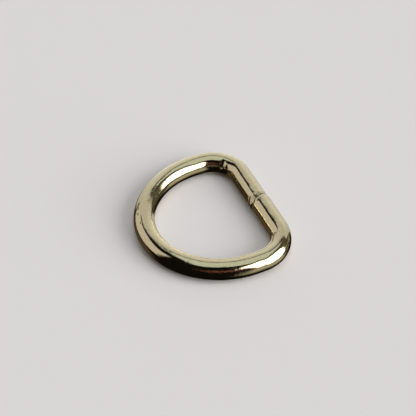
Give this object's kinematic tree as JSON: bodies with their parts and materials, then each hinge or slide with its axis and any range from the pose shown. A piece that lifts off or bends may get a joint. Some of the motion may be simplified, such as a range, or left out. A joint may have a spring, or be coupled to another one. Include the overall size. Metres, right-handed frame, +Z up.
{
  "type": "d ring",
  "caption": "D ring of round wire in pale gold plating, welded shut in its straight bar: a strap folds round the bar and a hook or second strap pulls in the bow.",
  "frame": {"origin": "under the middle of the ring's outline, on the surface that it lies on", "axes": "+X along the straight bar, +Y from the foot of the bow towards the bar, +Z up, square to the ring"},
  "size_m": [0.0334, 0.0282, 0.0042],
  "materials": {
    "plated_wire": "pale gold plating, tumbled, glossy with fine scuffs"
  },
  "bodies": {
    "root": {"d_ring": "plated_wire"}
  },
  "joints": []
}
